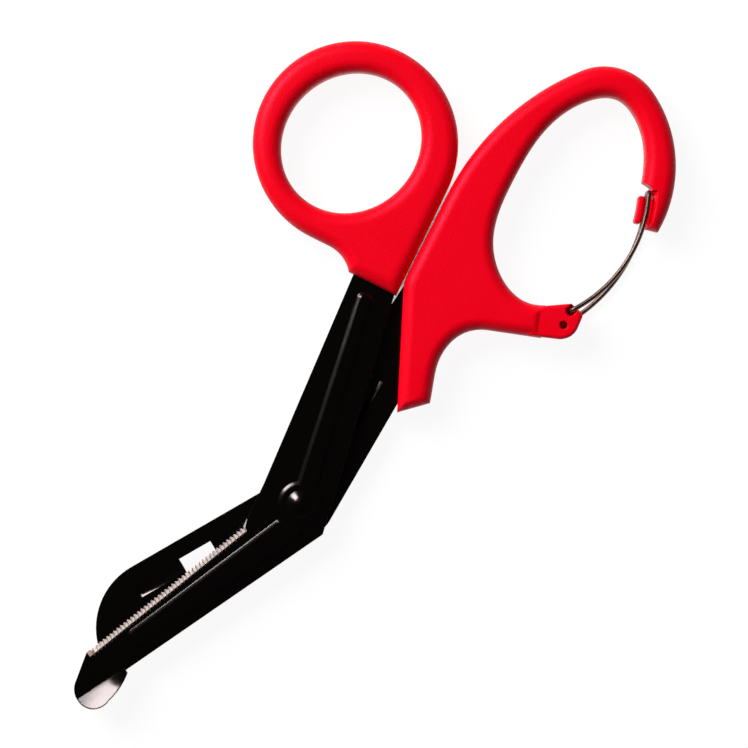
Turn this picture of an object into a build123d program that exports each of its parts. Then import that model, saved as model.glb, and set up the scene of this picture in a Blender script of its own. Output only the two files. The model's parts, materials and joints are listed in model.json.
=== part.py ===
# Angled bandage scissors with a thumb ring and a carabiner finger bow, lying flat and closed.
# Millimetres and degrees. While it is drawn, the pivot is at the origin, +Y runs to the handles, the tips
# are towards -Y and bent to -X, and the blades meet at z = 0 with the lower blade on top. At the end every
# piece is moved together, so that the scissors lie on z = 0 with the origin under the middle of their box.
import os
from math import acos, asin, atan2, cos, degrees, radians, sin, sqrt, tan

from build123d import *

# Sheet steel and fits
STOCK = 1.9
BLADE_GAP = 0.1  # running gap between the two blades
RIB_HEIGHT = 0.6  # how far the pressed ribs stand out of the sheet
RIB_SLOPE = 0.9  # width of a rib's sloping side
RIB_CORNER = 1.4  # plan radius at a rib's ends
GROOVE_INSET = 0.3  # how much narrower a rib's groove is on the inner face
PIN_CLEARANCE = 0.05  # radial running clearance of the rivet in the lower blade
HEAD_CLEARANCE = 0.05  # running gap under the rivet's head

# Pivot
RIVET_RADIUS = 2.4
RIVET_HEAD_RADIUS = 3.2
RIVET_HEAD_HEIGHT = 1.5
RIVET_TAIL_HEIGHT = 0.9
BOSS_RADIUS = 5.3

# Lower blade, with headings measured from -Y and positive to -X
EDGE_HEADING = 24.6
EDGE_OVERRUN = 5.1  # how far the cutting edge runs on past the end of the spine
CHOIL_X = -9.4
CHOIL_Y = -10.3
WAIST_X = -9.6  # left edge of the shank beside the pivot
WAIST_Y = 0.5
SPINE_HEADING = 28.85
SPINE_LENGTH = 54.2
HEEL_X = 7.5
HEEL_Y = -3.9
EDGE_LAND = 0.25  # height of the blunt land under the ground bevel
BEVEL_WIDTH = 1.2
TOOTH_PITCH = 1.0
TOOTH_ROOT = 0.45  # how far the tooth roots lie inside the edge
TOOTH_RUNOUT = 1.75  # where the tooth grooves run out on the outer face
LOWER_RIB_X = -3.05
LOWER_RIB_Y = -5.1
LOWER_RIB_HEADING = 26.5
LOWER_RIB_SETBACK = 4.6  # from the end of the spine back to the rib's end
SPINE_TO_RIB = 2.2
LOWER_RIB_TOP = 49.4
LOWER_RIB_INSET = 2.6  # from the shank's left edge to its rib, at the rib's top
LOWER_RIB_WIDTH = 3.9
RIB_ROOT_LEFT = 2.4  # the ribs' reach to each side of the pivot
RIB_ROOT_RIGHT = 2.8

# Blunt tip of the lower blade, placed along and across its spine
TIP_RADIUS = 4.4
TIP_ALONG = 8.5
TIP_ACROSS = -0.6
LIP_STEP = 0.75
LIP_START_ANGLE = 23.0  # the lip is bent up more towards the tip
LIP_END_ANGLE = 34.0
LIP_BULGE = 0.45  # how far the lip's edge bows out between the spine and the tip
CREASE_INSET = 0.8

# Upper blade
UPPER_HEADING = 33.4
UPPER_SPINE_X = -7.3
UPPER_SPINE_Y = 1.5
UPPER_SPINE_LENGTH = 37.8
UPPER_SPINE_CORNER = 8.0
UPPER_WIDTH = 11.4
UPPER_END_RADIUS = 16.0
UPPER_HEEL_RADIUS = 7.55
UPPER_BEVEL_WIDTH = 1.4
BAND_START = 3.9  # the pressed band of the upper blade, measured from its spine
BAND_END = 7.5
BAND_LENGTH = 40.2
WINDOW_START = 19.3  # from the start of the spine
WINDOW_LENGTH = 8.2
UPPER_RIB_TOP = 34.4
UPPER_RIB_LEFT = 0.6
UPPER_RIB_RIGHT = 4.5

# Shanks and tangs
HANDLE_START = 52.0  # where the lower shank goes into the thumb ring
LOWER_SHANK_LEFT = -12.7
LOWER_SHANK_RIGHT = -2.3
LOWER_TANG_LEFT = -10.7
LOWER_TANG_RIGHT = -5.2
LOWER_TANG_END = 68.0
UPPER_SHANK_RIGHT = 10.3
UPPER_SHANK_RIGHT_TOP = 45.0
UPPER_SHANK_LEFT = -1.4
UPPER_SHANK_LEFT_TOP = 54.5
UPPER_TANG_LEFT = 3.4
UPPER_TANG_RIGHT = 9.4
UPPER_TANG_END = 70.0
TANG_NARROWING = 7.0  # length over which a shank narrows to its tang
TANG_CORNER = 2.0
LOCK_HOLE_RADIUS = 1.5
LOCK_HOLE_SETBACK = 4.0  # from the end of a tang to its lock hole

# Thumb ring
HANDLE_THICKNESS = 10.0
HANDLE_ROUND = 2.8
RING_RADIUS = 23.3
RING_SIDE_X = -2.2  # the side that faces the bow
RING_BOTTOM_Y = 55.3
RING_WALL = 8.1  # between the outside and the hole, across the oval hole
RING_END_WALL = 6.6  # the same at the hole's long ends
HOLE_SHIFT = (-1.0, -0.2)  # from the middle of the ring to the middle of the hole
HOLE_TURN = -18.0
NECK_X = -20.5
NECK_CORNER_X = -13.9
RING_CORNER_X = -1.85

# Carabiner bow
SHEATH_TIP_X = 10.2
SHEATH_TIP_Y = 28.4
SHEATH_SIDE_X = 15.9
SHEATH_SIDE_Y = 33.6
SHEATH_WAIST_X = 13.4
SHEATH_WAIST_Y = 43.3
BOW_FACING_X = -1.75
BOW_BEND_Y = 55.6
BOW_BEND_RADIUS = 8.0
BOW_STRAIGHT_Y = 77.5
HOOK_RISE_X = 12.9
HOOK_RISE_Y = 116.4
HOOK_FALL_X = 29.5
HOOK_FALL_Y = 119.3
LOOP_RIGHT_X = 29.2
LOOP_RIGHT_Y = 111.9
LOOP_TOP_X = 23.1
LOOP_TOP_Y = 114.3
LOOP_LEFT_X = 16.6
LOOP_LEFT_Y = 110.3
LOOP_SIDE_X = 10.2
LOOP_SIDE_Y = 87.0
LOOP_TURN_X = 13.6
LOOP_TURN_Y = 70.6

# Gate wire
WIRE_RADIUS = 0.55
WIRE_BEND = 1.1
GATE_CENTRE_X = 9.8
GATE_CENTRE_Y = 85.8
GATE_RADIUS = 31.7
GATE_LOW_ANGLE = -35.5
GATE_HIGH_ANGLE = 21.6
LEG_HEIGHT = 4.1  # from the middle of the bow's thickness to each leg
FOOT_DEPTH = 2.6  # how far the wire's ends reach down from the legs
FEET_APART = 3.55
GATE_SWING = 25.0

# Nose of the hook, placed by angles about the centre of the gate's arc
WIRE_CLEARANCE = 0.2
NOSE_END_ANGLE = 8.4
NOSE_TIP_ANGLE = 9.1
NOSE_TIP_THICKNESS = 2.95
NOSE_SPARE = 3.6  # moulded shape inside the nose that the gate's recess takes away
SHOULDER_ANGLE = 29.0
SHOULDER_DEPTH = 1.35  # how far the hook's shoulder reaches inside the gate
RECESS_TURN_ANGLE = 26.6  # where the recess turns from the shoulder to the nose
RECESS_ROOT_ANGLE = 24.2
RECESS_DEPTH = 4.5  # from the nose's inner wall into the loop
RECESS_SPREAD = 1.1  # how much wider the recess is at the faces than at the web
RECESS_LAP = 0.4  # how far its two cuts overlap, in degrees
TOOTH_WIDTH = 1.5
TOOTH_LOW_ANGLE = 10.0
TOOTH_HIGH_ANGLE = 21.9
TOOTH_HALF = 3.2
TOOTH_ROUND = 0.45
WEB_HALF = 1.6
WEB_LAP = 0.6  # how far the web reaches into the nose
WEB_INSET = 1.0  # degrees by which it is shorter than the tooth at each end

# Gate arm, placed from the wire's front foot
LEG_CLEARANCE = 0.15
FRONT_SEAT_RADIUS = 1.1
REAR_SEAT_RADIUS = 0.9
SEAT_FLOOR = 0.5  # gap past the wire's ends in their seats
MOUTH_WIDTH = 2.1
MOUTH_LENGTH = 4.0
MOUTH_TURN = 22.0
ARM_LIP = (-0.4, 1.7)
ARM_LIP_RADIUS = 0.5
ARM_TIP = (3.0, 0.6)
ARM_TIP_RADIUS = 1.2
ARM_CHIN = (3.4, -5.8)
ARM_CHIN_RADIUS = 4.2
ARM_STEP = (-5.6, -1.3)
ARM_UNDER = (-3.2, -8.4)
ARM_ROOT = (-14.5, -12.1)
LOOP_BOTTOM = (-11.0, -2.6)
ARM_OVERLAP = 3.0  # how far the thin end reaches into the thick arm
ARM_INSET = 0.15  # how far its upper side starts below the thick arm's
ARM_DIVE = 1.5  # how far that side has gone down at its inner end
ARM_ROUND = 0.8
ARM_FRONT = 4.4  # height of its front face, above the wire's leg


def heading(angle):
    """Direction towards the tips, turned to -X by the angle."""
    return Vector(-sin(radians(angle)), -cos(radians(angle)), 0)


def spineward(angle):
    """Direction across that heading, to the spine side of the lower blade."""
    return Vector(cos(radians(angle)), -sin(radians(angle)), 0)


def polar(centre, radius, angle):
    return centre + Vector(radius * cos(radians(angle)), radius * sin(radians(angle)), 0)


def tangent_point(centre, radius, outside, side):
    """Where a line from an outside point touches a circle, counterclockwise (1) or clockwise (-1) of it."""
    reach = outside - centre
    spread = degrees(acos(radius / reach.length))
    return polar(centre, radius, degrees(atan2(reach.Y, reach.X)) + side * spread)


def flat(*points):
    return [(point.X, point.Y) for point in points]


def ring_sector(centre, inner, outer, low, high):
    """Part of a flat ring between two angles."""
    middle = (low + high) / 2
    with BuildSketch() as sector:
        with BuildLine():
            ThreePointArc(*flat(*[polar(centre, outer, angle) for angle in (low, middle, high)]))
            Line(*flat(polar(centre, outer, high), polar(centre, inner, high)))
            ThreePointArc(*flat(*[polar(centre, inner, angle) for angle in (high, middle, low)]))
            Line(*flat(polar(centre, inner, low), polar(centre, outer, low)))
        make_face()
    return sector.sketch


inner_face = BLADE_GAP / 2
outer_face = inner_face + STOCK
boss_face = outer_face + RIB_HEIGHT
rib_taper = degrees(atan2(RIB_SLOPE, RIB_HEIGHT))
pivot = Vector(0, 0, 0)

# Key points of the lower blade
choil = Vector(CHOIL_X, CHOIL_Y, 0)
waist = Vector(WAIST_X, WAIST_Y, 0)
edge_along = heading(EDGE_HEADING)
edge_across = spineward(EDGE_HEADING)
heel = Vector(HEEL_X, HEEL_Y, 0)
spine_along = heading(SPINE_HEADING)
spine_across = spineward(SPINE_HEADING)
spine_end = heel + spine_along * SPINE_LENGTH
edge_reach = (spine_end - choil).dot(spine_along) + EDGE_OVERRUN
edge_length = edge_reach / edge_along.dot(spine_along)
edge_end = choil + edge_along * edge_length
tip_centre = spine_end + spine_along * TIP_ALONG + spine_across * TIP_ACROSS
lip_start = spine_end + spine_across * LIP_STEP
tip_left = tangent_point(tip_centre, TIP_RADIUS, edge_end, 1)
tip_right = tangent_point(tip_centre, TIP_RADIUS, lip_start, -1)
lower_shank_left = Vector(LOWER_SHANK_LEFT, HANDLE_START, 0)
lower_shank_right = Vector(LOWER_SHANK_RIGHT, HANDLE_START, 0)

# Key points of the upper blade
upper_along = heading(UPPER_HEADING)
upper_across = spineward(UPPER_HEADING)
upper_spine = Vector(UPPER_SPINE_X, UPPER_SPINE_Y, 0)
upper_spine_end = upper_spine + upper_along * UPPER_SPINE_LENGTH
end_reach = sqrt(2 * UPPER_END_RADIUS * UPPER_WIDTH - UPPER_WIDTH**2)
upper_edge_end = upper_spine_end + upper_across * UPPER_WIDTH + upper_along * end_reach
pivot_across = (pivot - upper_spine).dot(upper_across)
pivot_along = (pivot - upper_spine).dot(upper_along)
heel_reach = sqrt(UPPER_HEEL_RADIUS**2 - (UPPER_WIDTH - pivot_across) ** 2)
upper_edge_start = upper_spine + upper_across * UPPER_WIDTH + upper_along * (pivot_along + heel_reach)
upper_shank_right = Vector(UPPER_SHANK_RIGHT, UPPER_SHANK_RIGHT_TOP, 0)
upper_shank_left = Vector(UPPER_SHANK_LEFT, UPPER_SHANK_LEFT_TOP, 0)
upper_heel = tangent_point(pivot, UPPER_HEEL_RADIUS, upper_shank_right, -1)

# Outline of the lower half, from its tang to its blunt tip
with BuildSketch(Plane.XY.offset(inner_face)) as lower_outline:
    with BuildLine():
        SagittaArc(*flat(tip_right, lip_start), -LIP_BULGE)
        Polyline(
            *flat(lip_start, spine_end, heel, lower_shank_right),
            (LOWER_TANG_RIGHT, HANDLE_START + TANG_NARROWING),
            (LOWER_TANG_RIGHT, LOWER_TANG_END),
            (LOWER_TANG_LEFT, LOWER_TANG_END),
            (LOWER_TANG_LEFT, HANDLE_START + TANG_NARROWING),
            *flat(lower_shank_left, waist, choil, edge_end, tip_left),
        )
        tip_turn = spine_along * TIP_RADIUS
        ThreePointArc(*flat(tip_left, tip_centre + tip_turn, tip_right))
    make_face()
    fillet(vertices().group_by(Axis.Y)[-1], TANG_CORNER)
    with Locations(((LOWER_TANG_LEFT + LOWER_TANG_RIGHT) / 2, LOWER_TANG_END - LOCK_HOLE_SETBACK)):
        Circle(LOCK_HOLE_RADIUS, mode=Mode.SUBTRACT)

# Outline of the upper half, from its tang to its rounded end
with BuildSketch(Plane.XY.offset(-outer_face)) as upper_outline:
    with BuildLine():
        Polyline(
            *flat(upper_spine_end, upper_spine, upper_shank_left),
            (UPPER_TANG_LEFT, UPPER_SHANK_LEFT_TOP + TANG_NARROWING),
            (UPPER_TANG_LEFT, UPPER_TANG_END),
            (UPPER_TANG_RIGHT, UPPER_TANG_END),
            (UPPER_TANG_RIGHT, UPPER_SHANK_RIGHT_TOP + TANG_NARROWING),
            *flat(upper_shank_right, upper_heel),
        )
        heel_middle = (upper_heel + upper_edge_start).normalized() * UPPER_HEEL_RADIUS
        ThreePointArc(*flat(upper_heel, heel_middle, upper_edge_start))
        Line(*flat(upper_edge_start, upper_edge_end))
        TangentArc(*flat(upper_spine_end, upper_edge_end), tangent=(upper_along.X, upper_along.Y))
    make_face()
    fillet(vertices().group_by(Axis.Y)[-1], TANG_CORNER)
    fillet(vertices().sort_by_distance(upper_spine)[0], UPPER_SPINE_CORNER)
    with Locations(((UPPER_TANG_LEFT + UPPER_TANG_RIGHT) / 2, UPPER_TANG_END - LOCK_HOLE_SETBACK)):
        Circle(LOCK_HOLE_RADIUS, mode=Mode.SUBTRACT)


def bevel_outline(width):
    """Section of what is ground off a cutting edge, above the land on the inner face."""
    with BuildSketch() as outline:
        Polygon(
            (-width, EDGE_LAND),
            (0, EDGE_LAND),
            (width, STOCK),
            (width, 2 * STOCK),
            (-width, 2 * STOCK),
            align=None,
        )
    return outline.sketch


def rib_outline(height, corners):
    """Plan of a pressed rib on the sheet's outer face."""
    with BuildSketch(Plane.XY.offset(height)) as outline:
        Polygon(*flat(*corners), align=None)
        fillet(outline.vertices(), RIB_CORNER)
    return outline.sketch


def groove_outline(height, corners):
    """Plan of that rib's groove on the inner face, which stops short of the flat pivot seat."""
    with BuildSketch(Plane.XY.offset(height)) as outline:
        Polygon(*flat(*corners), align=None)
        fillet(outline.vertices(), RIB_CORNER)
        offset(amount=-GROOVE_INSET)
        Circle(BOSS_RADIUS, mode=Mode.SUBTRACT)
    return outline.sketch


# Ribs of the lower half: one on the shank, one along the blade
rib_root = [Vector(-RIB_ROOT_LEFT, 0, 0), Vector(RIB_ROOT_RIGHT, 0, 0)]
shank_lean = (LOWER_SHANK_LEFT - WAIST_X) / (HANDLE_START - WAIST_Y)
rib_top_x = LOWER_SHANK_LEFT - (HANDLE_START - LOWER_RIB_TOP) * shank_lean + LOWER_RIB_INSET
rib_top = [Vector(rib_top_x + LOWER_RIB_WIDTH, LOWER_RIB_TOP, 0), Vector(rib_top_x, LOWER_RIB_TOP, 0)]
lower_shank_rib = rib_root + rib_top
rib_start = Vector(LOWER_RIB_X, LOWER_RIB_Y, 0)
rib_along = heading(LOWER_RIB_HEADING)
rib_reach = SPINE_LENGTH - LOWER_RIB_SETBACK
rib_length = (rib_reach - (rib_start - heel).dot(spine_along)) / rib_along.dot(spine_along)
rib_end = rib_start + rib_along * rib_length
lower_blade_rib = [
    rib_start,
    rib_end,
    heel + spine_along * rib_reach - spine_across * SPINE_TO_RIB,
    heel - spine_across * SPINE_TO_RIB + spine_along * SPINE_TO_RIB,
]

# Ribs of the upper half
upper_shank_rib = rib_root + [
    Vector(UPPER_RIB_RIGHT, UPPER_RIB_TOP, 0),
    Vector(UPPER_RIB_LEFT, UPPER_RIB_TOP, 0),
]
upper_blade_rib = [
    upper_spine + upper_across * BAND_START,
    upper_spine + upper_across * BAND_START + upper_along * BAND_LENGTH,
    upper_spine + upper_across * BAND_END + upper_along * BAND_LENGTH,
    upper_spine + upper_across * BAND_END,
]

# Bent lip of the blunt tip: the sheet turns up along a crease and is cut to the tip's outline
crease_start = spine_end - spine_across * CREASE_INSET
lip_length = TIP_ALONG + TIP_RADIUS
lip_width = TIP_ACROSS + TIP_RADIUS + CREASE_INSET + LIP_BULGE
with BuildPart() as bent_lip:
    for reach, angle in ((0, LIP_START_ANGLE), (lip_length, LIP_END_ANGLE)):
        rise = tan(radians(angle))
        bend_offset = STOCK * tan(radians(angle / 2))
        with BuildSketch(Plane(crease_start + spine_along * reach, x_dir=spine_across, z_dir=spine_along)):
            Polygon(
                (0, outer_face),
                (0, inner_face),
                (bend_offset, inner_face),
                (lip_width, inner_face + (lip_width - bend_offset) * rise),
                (lip_width, outer_face + lip_width * rise),
                align=None,
            )
    loft(ruled=True)
    extrude(lower_outline.sketch, amount=STOCK + lip_width * rise, mode=Mode.INTERSECT)

# Lower blade: sheet, ribs, ground and serrated edge, blunt tip
tooth_rise = Vector(0, 0, STOCK) + edge_across * (TOOTH_RUNOUT - TOOTH_ROOT)
tooth_count = int(edge_length / TOOTH_PITCH)
with BuildPart() as lower_blade:
    extrude(lower_outline.sketch, amount=STOCK)
    with BuildSketch(Plane(crease_start, x_dir=spine_across, z_dir=(0, 0, 1))):
        Rectangle(2 * lip_width, 2 * lip_length, align=(Align.MIN, Align.MAX))
    extrude(amount=2 * outer_face, mode=Mode.SUBTRACT)
    with BuildSketch(Plane(choil + Vector(0, 0, inner_face), x_dir=edge_across, z_dir=edge_along)):
        add(bevel_outline(BEVEL_WIDTH))
    extrude(amount=edge_length, mode=Mode.SUBTRACT)
    tooth_plane = Plane(
        choil + edge_across * TOOTH_ROOT + Vector(0, 0, inner_face),
        x_dir=edge_along,
        z_dir=tooth_rise,
    )
    with BuildSketch(tooth_plane):
        with BuildLine():
            half_pitch = TOOTH_PITCH / 2
            teeth = [(0, -half_pitch)]
            for tooth in range(tooth_count):
                teeth.append(((tooth + 0.5) * TOOTH_PITCH, 0))
                teeth.append(((tooth + 1) * TOOTH_PITCH, -half_pitch))
            Polyline(*teeth, (tooth_count * TOOTH_PITCH, -2 * STOCK), (0, -2 * STOCK), close=True)
        make_face()
    extrude(amount=2 * STOCK, both=True, mode=Mode.SUBTRACT)
    for corners in (lower_shank_rib, lower_blade_rib):
        extrude(rib_outline(outer_face, corners), amount=RIB_HEIGHT, taper=rib_taper)
        extrude(groove_outline(inner_face, corners), amount=RIB_HEIGHT, taper=rib_taper, mode=Mode.SUBTRACT)
    with BuildSketch(Plane.XY.offset(outer_face)):
        Circle(BOSS_RADIUS)
    extrude(amount=RIB_HEIGHT, taper=rib_taper)
    add(bent_lip.part)
    with BuildSketch(Plane.XY):
        Circle(RIVET_RADIUS + PIN_CLEARANCE)
    extrude(amount=2 * boss_face, mode=Mode.SUBTRACT)
lower_blade.part.label = "lower_blade"

# Upper blade: sheet, ribs on its far side, ground edge, rectangular window
with BuildPart() as upper_blade:
    extrude(upper_outline.sketch, amount=STOCK)
    upper_edge_corner = upper_edge_start - Vector(0, 0, inner_face)
    with BuildSketch(Plane(upper_edge_corner, x_dir=-upper_across, z_dir=upper_along)):
        add(bevel_outline(UPPER_BEVEL_WIDTH))
    extrude(amount=(upper_edge_end - upper_edge_start).length, mode=Mode.SUBTRACT)
    for corners in (upper_shank_rib, upper_blade_rib):
        extrude(rib_outline(-outer_face, corners), amount=RIB_HEIGHT, dir=(0, 0, -1), taper=rib_taper)
        extrude(
            groove_outline(-inner_face, corners),
            amount=RIB_HEIGHT,
            dir=(0, 0, -1),
            taper=rib_taper,
            mode=Mode.SUBTRACT,
        )
    with BuildSketch(Plane.XY.offset(-outer_face)):
        Circle(BOSS_RADIUS)
    extrude(amount=RIB_HEIGHT, dir=(0, 0, -1), taper=rib_taper)
    window_corner = upper_spine + upper_across * BAND_START + upper_along * WINDOW_START
    with BuildSketch(Plane(window_corner, x_dir=upper_across, z_dir=(0, 0, 1))):
        Rectangle(BAND_END - BAND_START, WINDOW_LENGTH, align=(Align.MIN, Align.MAX))
    extrude(amount=2 * boss_face, both=True, mode=Mode.SUBTRACT)
    with BuildSketch(Plane.XY):
        Circle(RIVET_RADIUS)
    extrude(amount=-2 * boss_face, mode=Mode.SUBTRACT)
upper_blade.part.label = "upper_blade"

# Pivot rivet: a domed head over the lower blade's boss, a pin, and a closed tail under the upper blade
head_seat = boss_face + HEAD_CLEARANCE
with BuildPart() as pivot_rivet:
    with BuildSketch(Plane.XZ):
        with BuildLine():
            Polyline(
                (0, head_seat + RIVET_HEAD_HEIGHT),
                (0, -boss_face - RIVET_TAIL_HEIGHT),
                (RIVET_RADIUS, -boss_face - RIVET_TAIL_HEIGHT),
            )
            SagittaArc(
                (RIVET_RADIUS, -boss_face - RIVET_TAIL_HEIGHT),
                (RIVET_HEAD_RADIUS, -boss_face),
                RIVET_TAIL_HEIGHT / 4,
            )
            Polyline(
                (RIVET_HEAD_RADIUS, -boss_face),
                (RIVET_RADIUS, -boss_face),
                (RIVET_RADIUS, head_seat),
                (RIVET_HEAD_RADIUS, head_seat),
            )
            dome_radius = (RIVET_HEAD_RADIUS**2 + RIVET_HEAD_HEIGHT**2) / (2 * RIVET_HEAD_HEIGHT)
            dome_half = asin(RIVET_HEAD_RADIUS / dome_radius) / 2
            dome_middle = head_seat + RIVET_HEAD_HEIGHT - dome_radius * (1 - cos(dome_half))
            ThreePointArc(
                (RIVET_HEAD_RADIUS, head_seat),
                (dome_radius * sin(dome_half), dome_middle),
                (0, head_seat + RIVET_HEAD_HEIGHT),
            )
        make_face()
    revolve(axis=Axis.Z)
pivot_rivet.part.label = "pivot_rivet"

# Thumb ring, moulded over the lower blade's tang
ring_centre = Vector(RING_SIDE_X - RING_RADIUS, RING_BOTTOM_Y + RING_RADIUS, 0)
ring_corner = Vector(RING_CORNER_X, HANDLE_START, 0)
ring_neck = Vector(NECK_X, RING_BOTTOM_Y, 0)
ring_side = tangent_point(ring_centre, RING_RADIUS, ring_corner, 1)
ring_left = polar(ring_centre, RING_RADIUS, 180)
ring_bottom = polar(ring_centre, RING_RADIUS, -90)
with BuildPart() as thumb_ring:
    with BuildSketch(Plane.XY.offset(-HANDLE_THICKNESS / 2)):
        with BuildLine():
            Line((NECK_CORNER_X, HANDLE_START), *flat(ring_corner))
            Line(*flat(ring_corner, ring_side))
            ThreePointArc(*flat(ring_side, ring_left, ring_bottom))
            Line(*flat(ring_bottom, ring_neck))
            TangentArc(*flat(ring_neck), (NECK_CORNER_X, HANDLE_START), tangent=(1, 0))
        make_face()
        hole_half_width = RING_RADIUS - RING_WALL
        hole_half_length = RING_RADIUS - RING_END_WALL
        with Locations(flat(ring_centre + Vector(*HOLE_SHIFT))):
            Ellipse(hole_half_width, hole_half_length, rotation=HOLE_TURN, mode=Mode.SUBTRACT)
    extrude(amount=HANDLE_THICKNESS)
    fillet(faces().sort_by(Axis.Z)[0].edges() + faces().sort_by(Axis.Z)[-1].edges(), HANDLE_ROUND)
    extrude(lower_outline.sketch, amount=STOCK, mode=Mode.SUBTRACT)
thumb_ring.part.label = "thumb_ring"

# Gate wire: two curved legs, joined by a cross bar at the nose, with their ends turned into the gate arm
gate_centre = Vector(GATE_CENTRE_X, GATE_CENTRE_Y, 0)
front_leg_start = polar(gate_centre, GATE_RADIUS, GATE_LOW_ANGLE)
leg_end = polar(gate_centre, GATE_RADIUS, GATE_HIGH_ANGLE)
leg_middle = polar(gate_centre, GATE_RADIUS, (GATE_LOW_ANGLE + GATE_HIGH_ANGLE) / 2)
front_direction = polar(Vector(0, 0, 0), 1, GATE_LOW_ANGLE + 90)
top_direction = polar(Vector(0, 0, 0), 1, GATE_HIGH_ANGLE + 90)
front_foot = front_leg_start - front_direction * WIRE_BEND
cross_bar = leg_end + top_direction * WIRE_BEND
rear_foot = front_foot - Vector(0, FEET_APART, 0)
leg_out = polar(pivot, 1, GATE_HIGH_ANGLE)
leg_reach = rear_foot - leg_end
rear_radius = (WIRE_BEND**2 - leg_reach.dot(leg_reach)) / (2 * leg_reach.dot(leg_out))
rear_centre = leg_end - leg_out * rear_radius
rear_leg_start = tangent_point(rear_centre, rear_radius, rear_foot, 1)
rear_direction = (rear_leg_start - rear_foot).normalized()
rear_low_angle = degrees(asin((rear_leg_start - rear_centre).Y / rear_radius))
rear_middle = polar(rear_centre, rear_radius, (rear_low_angle + GATE_HIGH_ANGLE) / 2)
up = Vector(0, 0, LEG_HEIGHT)
bend_up = Vector(0, 0, LEG_HEIGHT - WIRE_BEND)
foot_up = Vector(0, 0, LEG_HEIGHT - FOOT_DEPTH)
with BuildPart() as gate_wire:
    with BuildLine() as wire_path:
        Line(front_foot + foot_up, front_foot + bend_up)
        TangentArc(front_foot + bend_up, front_leg_start + up, tangent=(0, 0, 1))
        ThreePointArc(front_leg_start + up, leg_middle + up, leg_end + up)
        TangentArc(leg_end + up, cross_bar + bend_up, tangent=top_direction)
        Line(cross_bar + bend_up, cross_bar - bend_up)
        TangentArc(cross_bar - bend_up, leg_end - up, tangent=(0, 0, -1))
        ThreePointArc(leg_end - up, rear_middle - up, rear_leg_start - up)
        TangentArc(rear_leg_start - up, rear_foot - bend_up, tangent=-rear_direction)
        Line(rear_foot - bend_up, rear_foot - foot_up)
    with BuildSketch(Plane(front_foot + foot_up, z_dir=(0, 0, 1))):
        Circle(WIRE_RADIUS)
    sweep(path=wire_path.line)
gate_wire.part.label = "gate_wire"

# Nose of the hook: its recess for the wire, and a tooth between the legs on the end of a thin web
half_thickness = HANDLE_THICKNESS / 2
nose_radius = GATE_RADIUS + WIRE_RADIUS + WIRE_CLEARANCE
tooth_outer = GATE_RADIUS - WIRE_RADIUS - WIRE_CLEARANCE
tooth_inner = tooth_outer - TOOTH_WIDTH
nose_tip = polar(gate_centre, nose_radius + NOSE_TIP_THICKNESS, NOSE_TIP_ANGLE)
spare_tip = polar(gate_centre, nose_radius - NOSE_SPARE, NOSE_END_ANGLE)
shoulder = polar(gate_centre, GATE_RADIUS - SHOULDER_DEPTH, SHOULDER_ANGLE)
recess_turn = polar(gate_centre, (GATE_RADIUS + nose_radius - SHOULDER_DEPTH) / 2, RECESS_TURN_ANGLE)
recess_root = polar(gate_centre, nose_radius, RECESS_ROOT_ANGLE)
recess_floor = nose_radius - RECESS_DEPTH
root_out = polar(pivot, 1, RECESS_ROOT_ANGLE)
root_down = polar(pivot, 1, RECESS_ROOT_ANGLE - 90)
with BuildPart() as recess:
    with BuildSketch(Plane.XY):
        with BuildLine():
            inward = (gate_centre - shoulder).normalized() * (WIRE_RADIUS / 2)
            bottom = polar(gate_centre, recess_floor, RECESS_ROOT_ANGLE - RECESS_LAP)
            Spline(
                *flat(shoulder + inward, recess_turn, recess_root),
                tangents=flat(spare_tip - shoulder, root_down),
            )
            Polyline(
                *flat(recess_root, polar(gate_centre, nose_radius, RECESS_ROOT_ANGLE - RECESS_LAP), bottom),
                *flat(polar(gate_centre, recess_floor, SHOULDER_ANGLE), shoulder + inward),
            )
        make_face()
    extrude(amount=HANDLE_THICKNESS, both=True)
    with BuildSketch(Plane(gate_centre, x_dir=root_out, z_dir=root_down)):
        Polygon(
            (recess_floor, -half_thickness),
            (nose_radius + RECESS_SPREAD, -half_thickness),
            (nose_radius, -WEB_HALF),
            (nose_radius, WEB_HALF),
            (nose_radius + RECESS_SPREAD, half_thickness),
            (recess_floor, half_thickness),
            align=None,
        )
    revolve(axis=Axis(gate_centre, (0, 0, -1)), revolution_arc=RECESS_ROOT_ANGLE)
with BuildPart() as tooth:
    with BuildSketch(Plane.XY):
        add(ring_sector(gate_centre, tooth_inner, tooth_outer, TOOTH_LOW_ANGLE, TOOTH_HIGH_ANGLE))
    extrude(amount=TOOTH_HALF, both=True)
    fillet(edges(), TOOTH_ROUND)
    with BuildSketch(Plane.XY):
        web_inner = tooth_inner + TOOTH_ROUND
        web_outer = nose_radius + WEB_LAP
        web_low = TOOTH_LOW_ANGLE + WEB_INSET
        web_high = TOOTH_HIGH_ANGLE - WEB_INSET
        add(ring_sector(gate_centre, web_inner, web_outer, web_low, web_high))
    extrude(amount=WEB_HALF, both=True)

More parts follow.
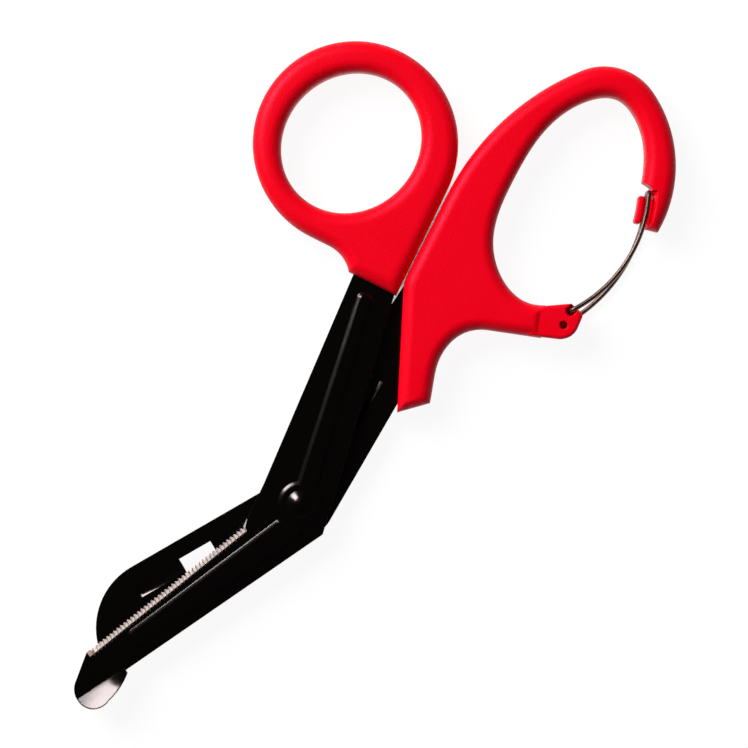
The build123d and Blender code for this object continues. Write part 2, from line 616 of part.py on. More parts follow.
# Gate arm's end: a thinner plate with the seats of the wire's turned ends, and a mouth for the front leg
arm_places = (ARM_LIP, ARM_TIP, ARM_CHIN, ARM_STEP, ARM_UNDER, ARM_ROOT, LOOP_BOTTOM)
arm_lip, arm_tip, arm_chin, arm_step, arm_under, arm_root, loop_bottom = [
    front_foot + Vector(*place) for place in arm_places
]
arm_inward = (arm_root - arm_under).normalized() * ARM_OVERLAP
arm_down = (arm_under - arm_step).normalized()
arm_back = LEG_HEIGHT - WIRE_RADIUS - LEG_CLEARANCE
seat_floor = LEG_HEIGHT - FOOT_DEPTH - SEAT_FLOOR
with BuildPart() as arm_end:
    with BuildSketch(Plane.XY.offset(-arm_back)):
        Polygon(
            *flat(arm_step + arm_down * ARM_INSET, arm_step + arm_down * ARM_DIVE + arm_inward),
            *flat(arm_under - arm_down * ARM_INSET + arm_inward, arm_chin, arm_tip, arm_lip),
            align=None,
        )
        arm_radii = (ARM_LIP_RADIUS, ARM_TIP_RADIUS, ARM_CHIN_RADIUS)
        for corner, radius in zip((arm_lip, arm_tip, arm_chin), arm_radii):
            fillet(vertices().sort_by_distance(corner)[0], radius)
    extrude(amount=arm_back + ARM_FRONT)
    fillet(faces().sort_by(Axis.Z)[0].edges() + faces().sort_by(Axis.Z)[-1].edges(), ARM_ROUND)
    with BuildSketch(Plane.XY.offset(seat_floor)):
        with Locations(flat(front_foot)):
            Circle(FRONT_SEAT_RADIUS)
            Rectangle(MOUTH_WIDTH, MOUTH_LENGTH, rotation=-MOUTH_TURN, align=(Align.CENTER, Align.MIN))
    extrude(amount=LEG_HEIGHT, mode=Mode.SUBTRACT)
    with BuildSketch(Plane.XY.offset(-seat_floor)):
        slot_half = WIRE_RADIUS + WIRE_CLEARANCE
        add(ring_sector(front_foot, FEET_APART - slot_half, FEET_APART + slot_half, -90, GATE_SWING - 90))
        with Locations(flat(rear_foot, polar(front_foot, FEET_APART, GATE_SWING - 90))):
            Circle(slot_half)
    extrude(amount=-LEG_HEIGHT, mode=Mode.SUBTRACT)
    with BuildSketch(Plane.XY):
        with Locations(flat(rear_foot)):
            Circle(REAR_SEAT_RADIUS)
    extrude(amount=half_thickness, mode=Mode.SUBTRACT)

# Carabiner bow, moulded over the upper blade's tang
with BuildPart() as carabiner_bow:
    with BuildSketch(Plane.XY.offset(-HANDLE_THICKNESS / 2)):
        with BuildLine():
            FilletPolyline(
                (SHEATH_TIP_X, SHEATH_TIP_Y),
                (BOW_FACING_X, BOW_BEND_Y),
                (BOW_FACING_X, BOW_STRAIGHT_Y),
                radius=BOW_BEND_RADIUS,
            )
            back = TangentArc((BOW_FACING_X, BOW_STRAIGHT_Y), (HOOK_RISE_X, HOOK_RISE_Y), tangent=(0, 1))
            crown = TangentArc(back @ 1, (HOOK_FALL_X, HOOK_FALL_Y), tangent=back % 1)
            TangentArc(crown @ 1, *flat(nose_tip), tangent=crown % 1)
            Line(*flat(nose_tip, spare_tip))
            Spline(
                *flat(spare_tip, shoulder),
                (LOOP_RIGHT_X, LOOP_RIGHT_Y),
                (LOOP_TOP_X, LOOP_TOP_Y),
                (LOOP_LEFT_X, LOOP_LEFT_Y),
                (LOOP_SIDE_X, LOOP_SIDE_Y),
                (LOOP_TURN_X, LOOP_TURN_Y),
                *flat(loop_bottom, arm_step),
            )
            Line(*flat(arm_step, arm_under))
            under = Line(*flat(arm_under, arm_root))
            sheath_run = (SHEATH_SIDE_X - SHEATH_WAIST_X, SHEATH_SIDE_Y - SHEATH_WAIST_Y)
            Spline(
                under @ 1,
                (SHEATH_WAIST_X, SHEATH_WAIST_Y),
                (SHEATH_SIDE_X, SHEATH_SIDE_Y),
                tangents=[under % 1, sheath_run],
            )
            Line((SHEATH_SIDE_X, SHEATH_SIDE_Y), (SHEATH_TIP_X, SHEATH_TIP_Y))
        make_face()
    extrude(amount=HANDLE_THICKNESS)
    fillet(faces().sort_by(Axis.Z)[0].edges() + faces().sort_by(Axis.Z)[-1].edges(), HANDLE_ROUND)
    add(recess.part, mode=Mode.SUBTRACT)
    add(tooth.part)
    add(arm_end.part)
    extrude(upper_outline.sketch, amount=STOCK, mode=Mode.SUBTRACT)
carabiner_bow.part.label = "carabiner_bow"

# The scissors are set down on z = 0, with the origin under the middle of their box
builders = (lower_blade, upper_blade, pivot_rivet, thumb_ring, carabiner_bow, gate_wire)
pieces = [builder.part for builder in builders]
box = pieces[0].bounding_box()
for piece in pieces[1:]:
    box = box.add(piece.bounding_box())
setting = Pos(-box.center().X, -box.center().Y, -box.min.Z)
os.makedirs("parts", exist_ok=True)
for piece in pieces:
    export_step(setting * piece, f"parts/{piece.label}.step")
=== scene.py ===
import json
from math import atan2, cos, radians, sin

import bmesh
import bpy
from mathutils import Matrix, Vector


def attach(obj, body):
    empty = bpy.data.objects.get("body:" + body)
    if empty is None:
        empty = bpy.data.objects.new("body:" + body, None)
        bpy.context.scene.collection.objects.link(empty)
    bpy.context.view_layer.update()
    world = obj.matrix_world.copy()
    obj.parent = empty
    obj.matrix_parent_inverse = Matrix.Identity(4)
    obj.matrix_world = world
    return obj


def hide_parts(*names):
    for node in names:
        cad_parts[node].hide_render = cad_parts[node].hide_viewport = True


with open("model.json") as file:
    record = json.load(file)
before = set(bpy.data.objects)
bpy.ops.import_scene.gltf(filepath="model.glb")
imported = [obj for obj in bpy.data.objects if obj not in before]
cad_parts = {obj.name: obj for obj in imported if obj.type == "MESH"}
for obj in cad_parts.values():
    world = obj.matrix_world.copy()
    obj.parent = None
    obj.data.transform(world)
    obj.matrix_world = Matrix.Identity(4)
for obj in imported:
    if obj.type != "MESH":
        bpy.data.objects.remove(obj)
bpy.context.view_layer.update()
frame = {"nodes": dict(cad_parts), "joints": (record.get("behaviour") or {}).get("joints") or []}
joint_place = {joint["name"]: Vector(joint["pos_m"]) for joint in frame["joints"]}

# Lower blade
# The stamped half nearest the viewer: 1.9 mm sheet steel with pressed ribs, coated black all over. Its
# cutting edge is ground and serrated after coating, so the teeth are bare steel, and its blunt tip is bent up
# as a lip.
SHARP_ANGLE = radians(24)
WELD = 0.000002


def smooth_copy(node, name):
    """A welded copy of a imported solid, smooth across its curved faces and flat on its flat ones."""
    packed = frame["nodes"][node].data
    mesh = bpy.data.meshes.new(name)
    mesh.from_pydata([v.co for v in packed.vertices], [], [p.vertices[:] for p in packed.polygons])
    welded = bmesh.new()
    welded.from_mesh(mesh)
    bmesh.ops.remove_doubles(welded, verts=welded.verts, dist=WELD)
    welded.to_mesh(mesh)
    welded.free()
    mesh.shade_smooth()
    mesh.set_sharp_from_angle(angle=SHARP_ANGLE)
    piece = bpy.data.objects.new(name, mesh)
    bpy.context.scene.collection.objects.link(piece)
    weighting = piece.modifiers.new("flat faces stay flat", "WEIGHTED_NORMAL")
    weighting.keep_sharp = True
    evaluated = piece.evaluated_get(bpy.context.evaluated_depsgraph_get())
    piece.data = bpy.data.meshes.new_from_object(evaluated)
    piece.data.name = name
    piece.modifiers.clear()
    return piece


def add_node(tree, kind, inputs=None, **settings):
    """One node with its settings, and each input given a value or linked from another node's output."""
    node = tree.nodes.new(kind)
    for setting, value in settings.items():
        setattr(node, setting, value)
    for socket, value in (inputs or {}).items():
        if isinstance(value, bpy.types.NodeSocket):
            tree.links.new(value, node.inputs[socket])
        else:
            node.inputs[socket].default_value = value
    return node


def add_group(name, inputs, outputs):
    """A shader node group with named sockets. Returns it with the outputs of its own input node."""
    group = bpy.data.node_groups.new(name, "ShaderNodeTree")
    for socket in inputs:
        group.interface.new_socket(socket, in_out="INPUT", socket_type="NodeSocketFloat")
    for socket, kind in outputs.items():
        group.interface.new_socket(socket, in_out="OUTPUT", socket_type=kind)
    return group, group.nodes.new("NodeGroupInput").outputs


def combine(tree, operation, first, second):
    """The value of one math node."""
    return add_node(tree, "ShaderNodeMath", {0: first, 1: second}, operation=operation).outputs["Value"]


def blend(tree, factor, first, second):
    """A colour between two others."""
    inputs = {"Factor": factor, "A": first, "B": second}
    return add_node(tree, "ShaderNodeMix", inputs, data_type="RGBA").outputs["Result"]


def face_value(tree, name):
    """The value that the faces carry under a name."""
    return add_node(tree, "ShaderNodeAttribute", attribute_name=name).outputs["Fac"]


# Fine grain of a coated or moulded surface: a height for the bump, and slow clouds for colour and gloss
grain, given = add_group(
    "surface grain",
    ["Grain scale", "Cloud scale"],
    {"Height": "NodeSocketFloat", "Clouds": "NodeSocketFloat"},
)
place = add_node(grain, "ShaderNodeTexCoord").outputs["Object"]
speckle = add_node(
    grain, "ShaderNodeTexNoise", {"Vector": place, "Scale": given["Grain scale"], "Detail": 2.0}
)
clouds = add_node(
    grain, "ShaderNodeTexNoise", {"Vector": place, "Scale": given["Cloud scale"], "Detail": 3.0}
)
add_node(grain, "NodeGroupOutput", {"Height": speckle.outputs["Fac"], "Clouds": clouds.outputs["Fac"]})

# Broken edge: the small round that tumbling and coating leave on every edge
broken_edge, given = add_group("broken edge", ["Edge radius"], {"Normal": "NodeSocketVector"})
rounded = add_node(broken_edge, "ShaderNodeBevel", {"Radius": given["Edge radius"]}, samples=6)
add_node(broken_edge, "NodeGroupOutput", {"Normal": rounded.outputs["Normal"]})

# Black coat over the steel. Face attributes steer it: "ground" where the steel is bare, a painted-shade mark
# where bare steel is painted darker and browner as shade, "choil" on the piece that has the choil, and
# "edge_round", the radius to which edges are softened.
pivot = joint_place["blade_pivot"]
EDGE_HEADING = radians(24.6)
CHOIL = pivot + Vector((-0.0094, -0.0103, 0))
WEDGE_TOP = pivot + Vector((-0.00938, -0.0086, 0))
WEDGE_LEAN = radians(16)
BARE_WIDTH = 0.0012
COAT_SHEEN = (1.0, 0.87, 0.87, 1)
COAT_DARK = (0.0014, 0.0005, 0.0004, 1)
COAT_DARKEST = (0.0006, 0.0002, 0.0002, 1)
STEEL_BRIGHT = (1.0, 0.95, 0.93, 1)
STEEL_PAINTED_SHADE = (0.34, 0.23, 0.2, 1)
STEEL_ROUGHNESS = 0.36
STEEL_METALLIC = 0.4
edge_along = Vector((-sin(EDGE_HEADING), -cos(EDGE_HEADING), 0))
edge_across = Vector((cos(EDGE_HEADING), -sin(EDGE_HEADING), 0))
wedge_across = Vector((cos(WEDGE_LEAN), sin(WEDGE_LEAN), 0))
black_coat = bpy.data.materials.new("black coat")
black_coat.use_nodes = True
tree = black_coat.node_tree
coat_shader = tree.nodes["Principled BSDF"]
coat_shader.inputs["Specular IOR Level"].default_value = 0.9
coat_shader.inputs["Specular Tint"].default_value = COAT_SHEEN
coat_grain = add_node(
    tree, "ShaderNodeGroup", {"Grain scale": 5200.0, "Cloud scale": 160.0}, node_tree=grain
).outputs
place = add_node(tree, "ShaderNodeTexCoord").outputs["Object"]


def behind(tree, line, facing):
    """A mask of what lies behind a line, seen along the way that the line faces."""
    reach = add_node(tree, "ShaderNodeVectorMath", {0: place, 1: line}, operation="SUBTRACT")
    side = add_node(
        tree, "ShaderNodeVectorMath", {0: reach.outputs["Vector"], 1: facing}, operation="DOT_PRODUCT"
    )
    return combine(tree, "LESS_THAN", side.outputs["Value"], 0.0)


# The bare wedge that runs on from the last tooth up the choil
choil = face_value(tree, "choil")
wedge = choil
for line, facing in ((WEDGE_TOP, wedge_across), (CHOIL, edge_along)):
    wedge = combine(tree, "MULTIPLY", wedge, behind(tree, line, facing))

# The teeth are bare in a narrow band, and the coat stays on the inner ends of their gullets
inner = behind(tree, CHOIL + edge_across * BARE_WIDTH, -edge_across)
coated = combine(tree, "MULTIPLY", choil, inner)
ground = combine(tree, "SUBTRACT", face_value(tree, "ground"), coated)
ground = combine(tree, "MAXIMUM", ground, wedge)
coat_edge = add_node(
    tree, "ShaderNodeGroup", {"Edge radius": face_value(tree, "edge_round")}, node_tree=broken_edge
).outputs
coat_colour = blend(tree, coat_grain["Clouds"], COAT_DARK, COAT_DARKEST)
# Bare steel is painted darker and browner, as shade, on the faces marked for painted shade
steel_colour = blend(tree, face_value(tree, "painted_shade"), STEEL_BRIGHT, STEEL_PAINTED_SHADE)
shown_colour = blend(tree, ground, coat_colour, steel_colour)
tree.links.new(shown_colour, coat_shader.inputs["Base Color"])
coat_gloss = add_node(
    tree, "ShaderNodeMapRange", {"Value": coat_grain["Clouds"], "To Min": 0.16, "To Max": 0.22}
).outputs["Result"]
gloss = add_node(
    tree, "ShaderNodeMix", {"Factor": ground, "A": coat_gloss, "B": STEEL_ROUGHNESS}, data_type="FLOAT"
)
tree.links.new(gloss.outputs["Result"], coat_shader.inputs["Roughness"])
metal = combine(tree, "MULTIPLY", ground, STEEL_METALLIC)
tree.links.new(metal, coat_shader.inputs["Metallic"])
bump = add_node(
    tree,
    "ShaderNodeBump",
    {"Height": coat_grain["Height"], "Normal": coat_edge["Normal"], "Strength": 0.12, "Distance": 0.00003},
)
tree.links.new(bump.outputs["Normal"], coat_shader.inputs["Normal"])

# The ground faces lie in a band along the cutting edge, from the choil towards the tip, and are tilted. A
# tooth's flank that faces the tip gets painted shade, a darker and browner steel, and so does the face beyond
# the last tooth.
EDGE_LENGTH = 0.0476
PRESSED_EDGE = 0.0001
CRISP_EDGE = 0.00005
GROUND_WIDTH = 0.0019
SIDE_MARGIN = 0.25
END_MARGIN = 0.5
FLAT_FACE = 0.93
FLANK_TURN = 0.2
PAINTED_SHADE_END = 0.003


def mark_edges(piece, radius):
    """Writes how far a piece's edges are softened."""
    rounds = piece.data.attributes.new("edge_round", "FLOAT", "FACE")
    rounds.data.foreach_set("value", [radius] * len(piece.data.polygons))


def mark_ground(piece, start, along, across, length, width):
    """Marks the tilted faces in a band beside a cutting edge: bare, with painted shade or without, and with
    crisp edges.
    """
    marks = piece.data.attributes.new("ground", "FLOAT", "FACE")
    painted_shades = piece.data.attributes.new("painted_shade", "FLOAT", "FACE")
    for face in piece.data.polygons:
        reach = face.center - start
        beside = -SIDE_MARGIN * width < reach.dot(across) < width
        between = -END_MARGIN * width < reach.dot(along) < length
        if beside and between and abs(face.normal.z) < FLAT_FACE:
            marks.data[face.index].value = 1.0
            # Painted shade on the flank that faces the tip and on the face beyond the last tooth
            is_painted_shade = face.normal.dot(along) > FLANK_TURN or reach.dot(along) > length - PAINTED_SHADE_END
            painted_shades.data[face.index].value = float(is_painted_shade)
            piece.data.attributes["edge_round"].data[face.index].value = CRISP_EDGE


# Pressing leaves a rib's flank steep at its foot and running out gently towards the flat of the rib. The lip
# starts flat and turns up along its length. Each share says how far the shading is turned towards the flat.
RIB_TOP = 0.00755
FLANK_STEEP = cos(radians(50))
FLANK_GENTLE = cos(radians(20))
BOSS_REACH = 0.0076
LIP_LINE = -0.05
LIP_START = -0.056
LIP_END = -0.0525
LIP_EDGE = 0.0005
RUN_OUT = 0.7
SHANK_FLAT = 0.5
BOSS_FOOT = 0.3
RIB_END = 0.4
RIB_STEEP = 0.03
RIB_SHALLOW = 0.046


def ramp(value, start, end):
    """How far a value has come from a start to an end, from 0 to 1."""
    return min(1, max(0, (value - start) / (end - start)))


def lay_flanks(piece, share_at):
    """Turns the shading of tilted faces towards the flat, by the share for each place about the pivot."""
    normals = [corner.vector.copy() for corner in piece.data.corner_normals]
    for face in piece.data.polygons:
        if FLANK_STEEP < abs(face.normal.z) < FLANK_GENTLE:
            facing = Vector((0, 0, 1 if face.normal.z > 0 else -1))
            for corner in face.loop_indices:
                spot = piece.data.vertices[piece.data.loops[corner].vertex_index].co
                share = share_at(spot - pivot, spot.z)
                normals[corner] = normals[corner].lerp(facing, share).normalized()
    piece.data.normals_split_custom_set(normals)


def rib_share(reach, at_flat, blade_flat, blade_foot):
    """The share on a rib: as given at the flat and the foot on the blade, and fixed along the shank."""
    if at_flat:
        return blade_flat if reach.y < 0 else SHANK_FLAT
    if reach.xy.length < BOSS_REACH:
        return BOSS_FOOT
    return blade_foot if reach.y < 0 else 0


def lower_share(reach, height):
    """The share on the lower blade: on its lip, and along its ribs, which end gently towards the tip."""
    if reach.y < LIP_LINE:
        return RUN_OUT * ramp(reach.y, LIP_START, LIP_END)
    rib_end = RIB_END * ramp(-reach.y, RIB_STEEP, RIB_SHALLOW)
    return rib_share(reach, abs(height - RIB_TOP) < WELD, RUN_OUT, rib_end)


lower_blade = smooth_copy("lower_blade", "lower_blade_steel")
lay_flanks(lower_blade, lower_share)
mark_edges(lower_blade, PRESSED_EDGE)
for face in lower_blade.data.polygons:
    if face.center.y - pivot.y < LIP_LINE and FLANK_STEEP < face.normal.z < FLANK_GENTLE:
        lower_blade.data.attributes["edge_round"].data[face.index].value = LIP_EDGE
mark_ground(lower_blade, CHOIL, edge_along, edge_across, EDGE_LENGTH, GROUND_WIDTH)
has_choil = lower_blade.data.attributes.new("choil", "FLOAT", "FACE")
has_choil.data.foreach_set("value", [1.0] * len(lower_blade.data.polygons))
lower_blade.data.materials.append(black_coat)
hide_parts("lower_blade")
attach(lower_blade, "thumb_half")

# Upper blade
# The other stamped half, of the same coated sheet, with a rectangular window in its pressed band. Its edge is
# ground on the far side, and its rounded end lies behind the blunt tip.
UPPER_HEADING = radians(33.4)
UPPER_WIDTH = 0.0114
UPPER_SPINE = pivot + Vector((-0.0073, 0.0015, 0))
UPPER_EDGE_LENGTH = 0.056
UPPER_GROUND_WIDTH = 0.002
upper_along = Vector((-sin(UPPER_HEADING), -cos(UPPER_HEADING), 0))
upper_across = Vector((cos(UPPER_HEADING), -sin(UPPER_HEADING), 0))
GROOVE_FLOOR = 0.00435
RIB_UNDERSIDE = 0.00245
GROOVE_END = 0.9
GROOVE_STEEP = 0.035
GROOVE_SHALLOW = 0.026


def upper_share(reach, height):
    """The share on the upper blade, whose groove runs out gently towards the window."""
    at_flat = abs(height - GROOVE_FLOOR) < WELD or abs(height - RIB_UNDERSIDE) < WELD
    groove_end = GROOVE_END * ramp(-reach.y, GROOVE_STEEP, GROOVE_SHALLOW)
    return rib_share(reach, at_flat, RUN_OUT, groove_end)


upper_blade = smooth_copy("upper_blade", "upper_blade_steel")
lay_flanks(upper_blade, upper_share)
mark_edges(upper_blade, PRESSED_EDGE)
mark_ground(
    upper_blade,
    UPPER_SPINE + upper_across * UPPER_WIDTH,
    upper_along,
    -upper_across,
    UPPER_EDGE_LENGTH,
    UPPER_GROUND_WIDTH,
)
upper_blade.data.materials.append(black_coat)
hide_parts("upper_blade")
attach(upper_blade, "carabiner_half")

# Pivot rivet
# A domed steel rivet, coated like the blades. Its tail is closed under the upper blade, and the lower blade
# turns on its pin under the head.
HEAD_RADIUS = 0.0032
RIM_TILT = radians(34)
DOME_FULLNESS = 1.6
RIVET_EDGE = 0
rivet = smooth_copy("pivot_rivet", "pivot_rivet_steel")
normals = [corner.vector.copy() for corner in rivet.data.corner_normals]
for face in rivet.data.polygons:
    if face.normal.z > FLANK_STEEP and face.center.z > RIB_TOP:
        for corner in face.loop_indices:
            reach = rivet.data.vertices[rivet.data.loops[corner].vertex_index].co - pivot
            reach.z = 0
            tilt = RIM_TILT * (1 - max(0, 1 - reach.length / HEAD_RADIUS) ** DOME_FULLNESS)
            normals[corner] = reach.normalized() * sin(tilt) + Vector((0, 0, cos(tilt)))
rivet.data.normals_split_custom_set(normals)
mark_edges(rivet, RIVET_EDGE)
rivet.data.materials.append(black_coat)
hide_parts("pivot_rivet")
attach(rivet, "carabiner_half")

# Thumb ring
# A closed ring of red plastic with rounded edges, moulded round the lower blade's tang. The mould leaves a
# fine satin grain.
RING_EDGE = 0.0014
RED_SHEEN = (1.0, 0.45, 0.9, 1)
RED_DEEP = (0.92, 0.0003, 0.009, 1)
RED_BRIGHT = (1.0, 0.0008, 0.013, 1)
red_plastic = bpy.data.materials.new("red plastic")
red_plastic.use_nodes = True
tree = red_plastic.node_tree
plastic_shader = tree.nodes["Principled BSDF"]
plastic_shader.inputs["Specular IOR Level"].default_value = 0.19
plastic_shader.inputs["Specular Tint"].default_value = RED_SHEEN
plastic_grain = add_node(
    tree, "ShaderNodeGroup", {"Grain scale": 2400.0, "Cloud scale": 90.0}, node_tree=grain
).outputs
plastic_edge = add_node(
    tree, "ShaderNodeGroup", {"Edge radius": face_value(tree, "edge_round")}, node_tree=broken_edge
).outputs
plastic_colour = blend(tree, plastic_grain["Clouds"], RED_DEEP, RED_BRIGHT)
tree.links.new(plastic_colour, plastic_shader.inputs["Base Color"])
plastic_gloss = add_node(
    tree, "ShaderNodeMapRange", {"Value": plastic_grain["Clouds"], "To Min": 0.38, "To Max": 0.46}
)
tree.links.new(plastic_gloss.outputs["Result"], plastic_shader.inputs["Roughness"])
bump = add_node(
    tree,
    "ShaderNodeBump",
    {
        "Height": plastic_grain["Height"],
        "Normal": plastic_edge["Normal"],
        "Strength": 0.8,
        "Distance": 0.0001,
    },
)
tree.links.new(bump.outputs["Normal"], plastic_shader.inputs["Normal"])

thumb_ring = smooth_copy("thumb_ring", "thumb_ring_plastic")
mark_edges(thumb_ring, RING_EDGE)
thumb_ring.data.materials.append(red_plastic)
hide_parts("thumb_ring")
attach(thumb_ring, "thumb_half")

# Carabiner bow
# The finger bow, of the same red plastic round the upper blade's tang: a hook that ends in a nose and a tooth
# for the gate wire, and an arm with the seats of the wire's turned ends.
BOW_EDGE = 0.0006
carabiner_bow = smooth_copy("carabiner_bow", "carabiner_bow_plastic")
mark_edges(carabiner_bow, BOW_EDGE)
carabiner_bow.data.materials.append(red_plastic)
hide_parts("carabiner_bow")
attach(carabiner_bow, "carabiner_half")

# Gate wire
# A spring of 1.1 mm steel wire: two curved legs, joined by a cross bar at the nose, with both ends turned
# into the gate arm at different places, so that the twist of the legs shuts the gate.
WIRE_RADIUS = 0.00055
WIRE_BEND = 0.0011
GATE_RADIUS = 0.0317
GATE_CENTRE = pivot + Vector((0.0098, 0.0858, 0))
GATE_LOW = radians(-35.5)
GATE_HIGH = radians(21.6)
LEG_HEIGHT = 0.0041
FOOT_DEPTH = 0.0026
FEET_APART = 0.00355
LEG_STEPS = 60
BEND_STEPS = 8
WIRE_SIDES = 20
WIRE_CORNER = radians(50)
TARNISH_DARK = (0.16, 0.095, 0.075, 1)
TARNISH_PALE = (0.32, 0.23, 0.2, 1)
UP = Vector((0, 0, 1))


def outward(angle):
    """The level direction at an angle."""
    return Vector((cos(angle), sin(angle), 0))


def leg(centre, radius, start, end, height):
    """Points of one leg on its arc, without its ends."""
    angles = [start + (end - start) * step / LEG_STEPS for step in range(1, LEG_STEPS)]
    return [centre + outward(angle) * radius + UP * height for angle in angles]


def bend(corner, before, after):
    """Points of a round bend in place of a corner, from the direction before it to the one after it."""
    points = []
    for step in range(BEND_STEPS + 1):
        turn = radians(90) * step / BEND_STEPS
        points.append(corner + WIRE_BEND * (after * (1 - cos(turn)) - before * (1 - sin(turn))))
    return points


front_foot = joint_place["gate_hinge"]
rear_foot = front_foot - Vector((0, FEET_APART, 0))
front_out = Vector((-sin(GATE_LOW), cos(GATE_LOW), 0))
top_out = Vector((-sin(GATE_HIGH), cos(GATE_HIGH), 0))
leg_end = GATE_CENTRE + outward(GATE_HIGH) * GATE_RADIUS
cross_bar = leg_end + top_out * WIRE_BEND
leg_reach = rear_foot - leg_end
rear_radius = (WIRE_BEND**2 - leg_reach.length_squared) / (2 * leg_reach.dot(outward(GATE_HIGH)))
rear_centre = leg_end - outward(GATE_HIGH) * rear_radius
rear_reach = rear_foot - rear_centre
rear_low = atan2(rear_reach.y, rear_reach.x) + atan2(WIRE_BEND, rear_radius)
rear_out = Vector((-sin(rear_low), cos(rear_low), 0))
top = UP * LEG_HEIGHT
low = -top
path = [front_foot + top - UP * FOOT_DEPTH]
path += bend(front_foot + top, UP, front_out)
path += leg(GATE_CENTRE, GATE_RADIUS, GATE_LOW, GATE_HIGH, LEG_HEIGHT)
path += bend(cross_bar + top, top_out, -UP)
path += bend(cross_bar + low, -UP, -top_out)
path += leg(rear_centre, rear_radius, GATE_HIGH, rear_low, -LEG_HEIGHT)
path += bend(rear_foot + low, -rear_out, UP)
path += [rear_foot + low + UP * FOOT_DEPTH]

# Drawn steel, unevenly tarnished
wire_steel = bpy.data.materials.new("wire steel")
wire_steel.use_nodes = True
tree = wire_steel.node_tree
wire_shader = tree.nodes["Principled BSDF"]
wire_shader.inputs["Metallic"].default_value = 1.0
wire_grain = add_node(tree, "ShaderNodeGroup", {"Cloud scale": 260.0}, node_tree=grain).outputs
wire_colour = blend(tree, wire_grain["Clouds"], TARNISH_DARK, TARNISH_PALE)
tree.links.new(wire_colour, wire_shader.inputs["Base Color"])
wire_gloss = add_node(
    tree, "ShaderNodeMapRange", {"Value": wire_grain["Clouds"], "To Min": 0.35, "To Max": 0.5}
)
tree.links.new(wire_gloss.outputs["Result"], wire_shader.inputs["Roughness"])

# The wire follows its path: a round section swept along it, with closed ends
drawing = bpy.data.node_groups.new("drawn wire", "GeometryNodeTree")
drawing.interface.new_socket("Path", in_out="INPUT", socket_type="NodeSocketGeometry")
radius_socket = drawing.interface.new_socket("Wire radius", in_out="INPUT", socket_type="NodeSocketFloat")
sides_socket = drawing.interface.new_socket("Sides", in_out="INPUT", socket_type="NodeSocketInt")
drawing.interface.new_socket("Wire", in_out="OUTPUT", socket_type="NodeSocketGeometry")
given = drawing.nodes.new("NodeGroupInput").outputs
centre_line = add_node(drawing, "GeometryNodeMeshToCurve", {"Mesh": given["Path"]})
section = add_node(
    drawing,
    "GeometryNodeCurvePrimitiveCircle",
    {"Resolution": given["Sides"], "Radius": given["Wire radius"]},
)
swept = add_node(
    drawing,
    "GeometryNodeCurveToMesh",
    {"Curve": centre_line.outputs["Curve"], "Profile Curve": section.outputs["Curve"], "Fill Caps": True},
)
whole = add_node(drawing, "GeometryNodeRealizeInstances", {"Geometry": swept.outputs["Mesh"]})
steel = add_node(
    drawing, "GeometryNodeSetMaterial", {"Geometry": whole.outputs["Geometry"], "Material": wire_steel}
)
add_node(drawing, "NodeGroupOutput", {"Wire": steel.outputs["Geometry"]})

wire_mesh = bpy.data.meshes.new("gate_wire_spring")
wire_mesh.from_pydata(path, [(step, step + 1) for step in range(len(path) - 1)], [])
gate_wire = bpy.data.objects.new("gate_wire_spring", wire_mesh)
bpy.context.scene.collection.objects.link(gate_wire)
sweep = gate_wire.modifiers.new("drawn wire", "NODES")
sweep.node_group = drawing
sweep[radius_socket.identifier] = WIRE_RADIUS
sweep[sides_socket.identifier] = WIRE_SIDES
evaluated = gate_wire.evaluated_get(bpy.context.evaluated_depsgraph_get())
gate_wire.data = bpy.data.meshes.new_from_object(evaluated)
gate_wire.modifiers.clear()
gate_wire.data.shade_smooth()
gate_wire.data.set_sharp_from_angle(angle=WIRE_CORNER)
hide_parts("gate_wire")
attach(gate_wire, "gate")

# Table, lamps and camera
# A white table with a low rim far away, whose glow gets painted shade in very narrow slots under and between
# the parts. Beyond the photograph's upper left corner, a small near lamp draws the highlights and a wide lamp
# lights the rest. The camera looks straight down.
TABLE_RADIUS = 3.0
RIM_HEIGHT = 0.5
TABLE_SIDES = 96
WHITE = 0.93
BOUNCE = 0.4
SLOT_DEPTH = 0.02
SLOT_OPEN = 0.06
FLOOR_DROP = 0.0002
FLOOR_GREY = (0.1, 0.1, 0.1, 1)
table_mesh = bpy.data.meshes.new("white_table")
turns = [radians(360 * side / TABLE_SIDES) for side in range(TABLE_SIDES)]
corners = [(cos(turn), sin(turn)) for turn in turns]
floor_ring = [(x * TABLE_RADIUS, y * TABLE_RADIUS, -FLOOR_DROP) for x, y in corners]
rim_ring = [(x * TABLE_RADIUS, y * TABLE_RADIUS, RIM_HEIGHT) for x, y in corners]
rim_faces = [
    (side, TABLE_SIDES + side, TABLE_SIDES + (side + 1) % TABLE_SIDES, (side + 1) % TABLE_SIDES)
    for side in range(TABLE_SIDES)
]
table_mesh.from_pydata(floor_ring + rim_ring, [], [tuple(range(TABLE_SIDES))] + rim_faces)
table = bpy.data.objects.new("white_table", table_mesh)
bpy.context.scene.collection.objects.link(table)
white = bpy.data.materials.new("white table")
white.use_nodes = True
tree = white.node_tree
tree.nodes.clear()
ray = add_node(tree, "ShaderNodeLightPath").outputs
seen = combine(tree, "MAXIMUM", ray["Is Camera Ray"], ray["Is Glossy Ray"])
seen = combine(tree, "MAXIMUM", seen, ray["Is Transmission Ray"])
glow = add_node(tree, "ShaderNodeMapRange", {"Value": seen, "To Min": BOUNCE, "To Max": WHITE})
# Painted shade: the table's glow is darkened where ambient occlusion finds little open space, as in a narrow
# slot
around = add_node(tree, "ShaderNodeAmbientOcclusion", {"Distance": SLOT_DEPTH}, samples=16).outputs["AO"]
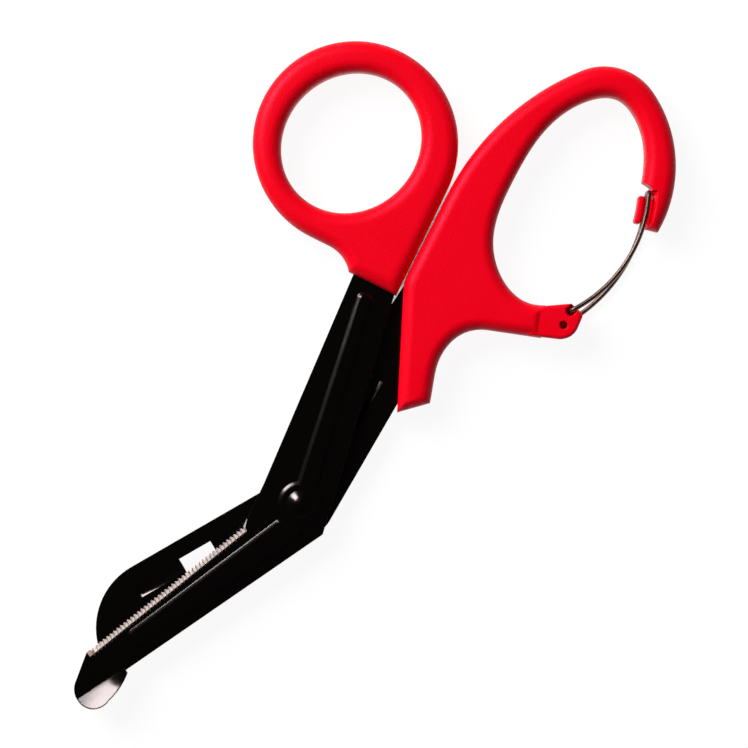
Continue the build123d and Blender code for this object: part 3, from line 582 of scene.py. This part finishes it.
painted_slot_shade = add_node(tree, "ShaderNodeMapRange", {"Value": around, "From Max": SLOT_OPEN})
glow = combine(tree, "MULTIPLY", glow.outputs["Result"], painted_slot_shade.outputs["Result"])
lit = add_node(tree, "ShaderNodeBsdfDiffuse", {"Color": FLOOR_GREY})
shown = add_node(tree, "ShaderNodeEmission", {"Strength": glow})
both = add_node(tree, "ShaderNodeAddShader", {0: lit.outputs[0], 1: shown.outputs[0]})
add_node(tree, "ShaderNodeOutputMaterial", {"Surface": both.outputs[0]})
table_mesh.materials.append(white)

VIEW_TURN = radians(26.6)
AIM = pivot + Vector((0.0016, 0.03385, 0))
CAMERA_HEIGHT = 0.944
LENS = 200
DIM = (0.015, 0.014, 0.014, 1)
scene = bpy.context.scene
camera = bpy.data.objects.new("camera", bpy.data.cameras.new("camera"))
camera.data.lens = LENS
camera.location = AIM + UP * CAMERA_HEIGHT
camera.rotation_euler = (0, 0, VIEW_TURN)
scene.collection.objects.link(camera)
scene.camera = camera

photo_right = Vector((cos(VIEW_TURN), sin(VIEW_TURN), 0))
photo_up = Vector((-sin(VIEW_TURN), cos(VIEW_TURN), 0))


def soft_lamp(name, right, above, height, size, watts):
    """A square lamp that shines at the scissors, placed by the photograph's right, top and viewer."""
    reach = photo_right * right + photo_up * above + UP * height
    lamp = bpy.data.objects.new(name, bpy.data.lights.new(name, "AREA"))
    lamp.data.size = size
    lamp.data.energy = watts
    lamp.location = AIM + reach
    lamp.rotation_euler = reach.to_track_quat("Z", "Y").to_euler()
    lamp.visible_camera = False
    scene.collection.objects.link(lamp)
    return lamp


near_lamp = soft_lamp("near lamp", right=-0.194, above=0.183, height=0.19, size=0.13, watts=0.8)
near_lamp.visible_diffuse = False
wide_lamp = soft_lamp("wide lamp", right=-0.8, above=0.73, height=0.95, size=1.0, watts=31)
wide_lamp.visible_glossy = False
world = bpy.data.worlds.new("dim room")
world.use_nodes = True
world.node_tree.nodes["Background"].inputs["Color"].default_value = DIM
scene.world = world
scene.view_settings.view_transform = "Standard"
